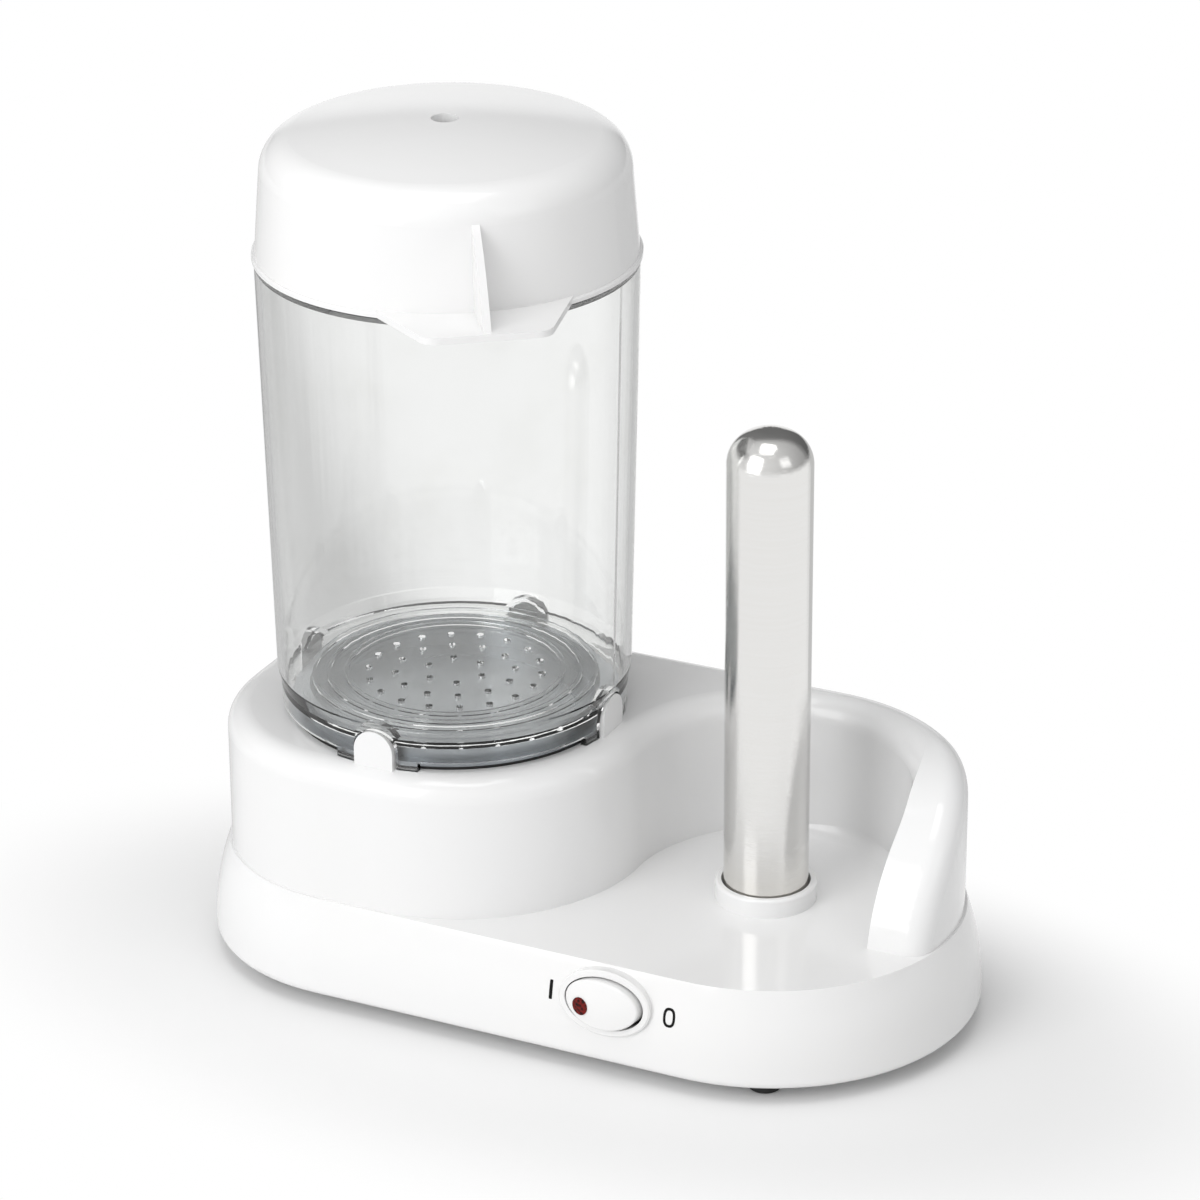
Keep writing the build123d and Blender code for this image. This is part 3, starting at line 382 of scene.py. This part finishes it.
WHITE = 0.83
finishes = {
    "white_plastic": white_moulding("white_plastic", WHITE, 0.085, 0.00002),
    "plate_plastic": matt_plastic("plate_plastic", grey(0.74), 0.5, 0.0008),
    "clear_plastic": clear_plastic(),
    "dish_metal": turned_metal("dish_metal", (0.39, 0.415, 0.44, 1), DISH_AXIS, 0.22, 0.0009, 0.00006),
    "seal_rubber": rubber("seal_rubber", 0.02),
    "foot_rubber": rubber("foot_rubber", 0.025),
    "polished_tube": polished_tube(),
    "heater_steel": steel_sheet("heater_steel", (0.30, 0.28, 0.27, 1), 0.35),
    "zinc_steel": steel_sheet("zinc_steel", (0.60, 0.62, 0.63, 1), 0.25),
    "brass": steel_sheet("brass", (0.70, 0.52, 0.24, 1), 0.2),
    "red_window": red_window(),
    "lamp_glass": lamp_glass(),
    "black_plastic": matt_plastic("black_plastic", grey(0.03), 0.45, 0.0006),
    "pale_plastic": matt_plastic("pale_plastic", grey(0.72, (0.01, 0.0, -0.03)), 0.4, 0.0006),
    "ceramic": ceramic(),
    "fuse_metal": steel_sheet("fuse_metal", (0.66, 0.66, 0.66, 1), 0.25),
    "live_sheath": sheath("live_sheath", (0.16, 0.06, 0.02, 1)),
    "neutral_sheath": sheath("neutral_sheath", (0.02, 0.07, 0.35, 1)),
    "earth_sheath": sheath("earth_sheath", (0.70, 0.60, 0.05, 1), (0.03, 0.25, 0.04, 1)),
}
for subpart in frame["record"]["subparts"]:
    frame["nodes"][subpart["node"]].material_slots[0].material = finishes[subpart["material_slot"]]


# Marks beside the switch

def skirt_y(z, proud):
    """Y of the skirt's front at a height: an arc that leaves the rim and ends upright, proud metres outside it."""
    arc = (FLARE_DEPTH**2 + SKIRT_FLARE**2) / (2 * SKIRT_FLARE)
    depth = DECK - z
    out = SKIRT_FLARE - arc + np.sqrt(arc**2 - (FLARE_DEPTH - depth) ** 2)
    return FRONT_RIM - out - proud


def closed_strip(name, x, z):
    """A thin closed solid on the skirt. x and z are grids, along by across: the front lies on the skirt's arc
    plus MARK_PROUD, and the back is the same grid sunk by as much."""
    rows, columns = x.shape
    front = np.stack([x, skirt_y(z, MARK_PROUD), z], -1).reshape(-1, 3)
    back = np.stack([x, skirt_y(z, -MARK_PROUD), z], -1).reshape(-1, 3)
    i, j = np.meshgrid(np.arange(rows), np.arange(columns - 1), indexing="ij")
    after = (i + 1) % rows
    here, right = i * columns + j, i * columns + j + 1
    over, corner = after * columns + j, after * columns + j + 1
    size = rows * columns
    faces = [np.stack([here, over, corner, right], -1).reshape(-1, 4)]
    faces.append(faces[0][:, ::-1] + size)
    ring = np.arange(rows)
    following = (ring + 1) % rows
    for edge in (0, columns - 1):
        a, b = ring * columns + edge, following * columns + edge
        side = np.stack([a, b, b + size, a + size], -1)
        faces.append(side[:, ::-1] if edge == 0 else side)
    mesh = bpy.data.meshes.new(name)
    mesh.from_pydata(np.concatenate([front, back]).tolist(), [], np.concatenate(faces).tolist())
    piece = bpy.data.objects.new(name, mesh)
    bpy.context.scene.collection.objects.link(piece)
    return piece


def mark(name, centre_x, centre_z, half_width, half_height, stroke, squareness):
    """A mark's outline: a closed ring of a stroke's width. Point t of the ring is (half_width c, half_height s),
    where c and s are cos t and sin t to the power 2 / squareness, and across it the ring is drawn in by up to
    the stroke."""
    t = np.linspace(0, 2 * pi, OUTLINE_POINTS, endpoint=False)[:, None]
    inward = np.linspace(0, stroke, STROKE_POINTS)[None, :]
    bow = 2 / squareness
    x = np.sign(np.cos(t)) * np.abs(np.cos(t)) ** bow * (half_width - inward)
    z = np.sign(np.sin(t)) * np.abs(np.sin(t)) ** bow * (half_height - inward)
    piece = closed_strip(name, centre_x + x, centre_z + z)
    piece.data.materials.append(ink)
    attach(piece, "base")


ink = print_ink()
half_bar = ON_MARK_WIDTH / 2
mark("on_mark", ON_MARK_X, DECK - ON_MARK_DROP, half_bar, MARK_HEIGHT / 2, half_bar - BAR_SLIT, ON_MARK_SQUARENESS)
mark("off_mark", OFF_MARK_X, DECK - OFF_MARK_DROP, OFF_MARK_WIDTH / 2, MARK_HEIGHT / 2, OFF_MARK_STROKE,
     OFF_MARK_SQUARENESS)


# Stage

def floor():
    """A pale floor, white far out and where the camera, metal or glass looks, that keeps the object's shadow."""
    mesh = bpy.data.meshes.new("floor")
    corners = [(-FLOOR_REACH, -FLOOR_REACH, 0), (FLOOR_REACH, -FLOOR_REACH, 0),
               (FLOOR_REACH, FLOOR_REACH, 0), (-FLOOR_REACH, FLOOR_REACH, 0)]
    mesh.from_pydata(corners, [], [(0, 1, 2, 3)])
    piece = bpy.data.objects.new("floor", mesh)
    bpy.context.scene.collection.objects.link(piece)
    material = bpy.data.materials.new("floor")
    material.use_nodes = True
    tree = Finish(material.node_tree)
    x, y, _ = tree.xyz(tree.place(SHADOW_MIDDLE, (FLOOR_SQUASH, 1, 1)))
    far = ((x * x + y * y) ** 0.5).between(SHADOW_NEAR, SHADOW_FAR)
    seen = backdrop_seen(tree)
    diffuse = tree.node("ShaderNodeBsdfDiffuse", None, {"Color": grey(FLOOR_COLOUR)})
    near = tree.node("ShaderNodeAddShader", None, [diffuse, glow(tree, FLOOR_LIFT)])
    lifted = tree.node("ShaderNodeMixShader", None, [far, near, glow(tree, 1.0)])
    way = tree.node("ShaderNodeVectorMath", {"operation": "NORMALIZE"}, [tree.place()])
    dark = ray(tree, "Glossy") * side_wall(along(tree, way, BEHIND_WAY))
    walled = tree.node("ShaderNodeMixShader", None, [dark, lifted, glow(tree, 1 - SIDE_DARK)])
    shown = tree.node("ShaderNodeMixShader", None, [seen, diffuse, walled])
    tree.end("ShaderNodeOutputMaterial", shown)
    mesh.materials.append(material)


def ray(tree, kind):
    """1 for rays of a kind, 0 for all others."""
    return tree.node("ShaderNodeLightPath", output=f"Is {kind} Ray")


def either(a, b):
    """The larger of two values."""
    return a.math("MAXIMUM", a, b)


def glow(tree, strength):
    """A white surface that gives light of a strength."""
    return tree.node("ShaderNodeEmission", None, {"Color": grey(1.0), "Strength": strength})


def along(tree, vector, way):
    """How far a vector points along a direction."""
    return tree.node("ShaderNodeVectorMath", {"operation": "DOT_PRODUCT"}, [vector, tuple(way)], "Value")


def backdrop_seen(tree):
    """1 for what the camera, a reflection or the glass looks at."""
    return either(either(ray(tree, "Camera"), ray(tree, "Glossy")), ray(tree, "Transmission"))


def side_wall(behind):
    """How dark the studio is beside the backdrop, where behind is 1 straight behind the object."""
    return behind.between(*SIDE_WALL) * (1 - behind.between(*BACKDROP)) * SIDE_DARK


def world():
    """Soft studio surroundings: pale, darker on the right, with a white backdrop and darker walls beside it."""
    surroundings = bpy.data.worlds.new("studio")
    surroundings.use_nodes = True
    bpy.context.scene.world = surroundings
    tree = Finish(surroundings.node_tree)
    glossy = ray(tree, "Glossy")
    direction = tree.node("ShaderNodeTexCoord", output="Generated")
    behind = along(tree, direction, BEHIND_WAY)
    straight = either(ray(tree, "Camera"), ray(tree, "Transmission"))
    backdrop = either(straight, glossy * behind.between(*BACKDROP))
    key = along(tree, direction, KEY_WAY)
    level = ((key * 0.5 + 0.5) * (SKY_HIGH - SKY_LOW) + SKY_LOW) * (1 - glossy * side_wall(behind))
    strength = backdrop + (1 - backdrop) * level
    back = tree.node("ShaderNodeBackground", None, {"Color": grey(1.0), "Strength": strength})
    tree.end("ShaderNodeOutputWorld", back)


def soft_box(name, way, distance, size, power):
    """A soft light that looks at the object from a direction."""
    light = bpy.data.lights.new(name, "AREA")
    light.shape = "RECTANGLE"
    light.size, light.size_y = size
    light.energy = power
    lamp = bpy.data.objects.new(name, light)
    bpy.context.scene.collection.objects.link(lamp)
    lamp.location = AIM + way * distance
    lamp.rotation_mode = "QUATERNION"
    lamp.rotation_quaternion = way.to_track_quat("Z", "Y")


def camera():
    """The camera at the photograph's view."""
    a, e = VIEW_AZIMUTH, VIEW_ELEVATION
    back = Vector((sin(a) * cos(e), -cos(a) * cos(e), sin(e)))
    right = Vector((cos(a), sin(a), 0))
    up = back.cross(right)
    turned_right = right * cos(VIEW_ROLL) + up * sin(VIEW_ROLL)
    turned_up = up * cos(VIEW_ROLL) - right * sin(VIEW_ROLL)
    data = bpy.data.cameras.new("camera")
    data.lens = VIEW_LENS
    data.sensor_width = SENSOR
    data.clip_start, data.clip_end = NEAR_CLIP, FAR_CLIP
    piece = bpy.data.objects.new("camera", data)
    bpy.context.scene.collection.objects.link(piece)
    turn = Matrix((turned_right, turned_up, back)).transposed().to_4x4()
    piece.matrix_world = Matrix.Translation(VIEW_TARGET + back * VIEW_DISTANCE) @ turn
    bpy.context.scene.camera = piece


def from_view(right, towards, up):
    """A direction given by the photograph's right, towards the camera, and up."""
    a = VIEW_AZIMUTH
    across, forward = Vector((cos(a), sin(a), 0)), Vector((sin(a), -cos(a), 0))
    return (across * right + forward * towards + Vector((0, 0, up))).normalized()


AIM = Vector((0, 0, 0.13))
KEY_WAY = from_view(-0.78, 0.82, 0.5)
FILL_WAY = from_view(0.9, 0.9, 0.7)
TOP_WAY = from_view(-0.05, 0.15, 1.0)
BEHIND_WAY = from_view(0, -1, 0)
BACKDROP = (0.95, 0.99)
SIDE_WALL = (0.25, 0.65)
SIDE_DARK = 0.62
SKY_HIGH = 0.85
SKY_LOW = 0.32
FLOOR_COLOUR = 0.82
FLOOR_LIFT = 0.03
SHADOW_MIDDLE = (0.016, -0.02, 0)
FLOOR_SQUASH = 0.53
SHADOW_NEAR = 0.078
SHADOW_FAR = 0.143

# Lamps: distance and size in metres, power in watts
KEY_DISTANCE, KEY_SIZE, KEY_POWER = 1.5, (0.9, 1.1), 8.6
FILL_DISTANCE, FILL_SIZE, FILL_POWER = 1.8, (0.8, 0.8), 1.2
TOP_DISTANCE, TOP_SIZE, TOP_POWER = 1.4, (0.7, 0.7), 4.2

camera()
world()
floor()
soft_box("key_light", KEY_WAY, KEY_DISTANCE, KEY_SIZE, KEY_POWER)
soft_box("fill_light", FILL_WAY, FILL_DISTANCE, FILL_SIZE, FILL_POWER)
soft_box("top_light", TOP_WAY, TOP_DISTANCE, TOP_SIZE, TOP_POWER)

settings = bpy.context.scene.view_settings
settings.view_transform = "Standard"
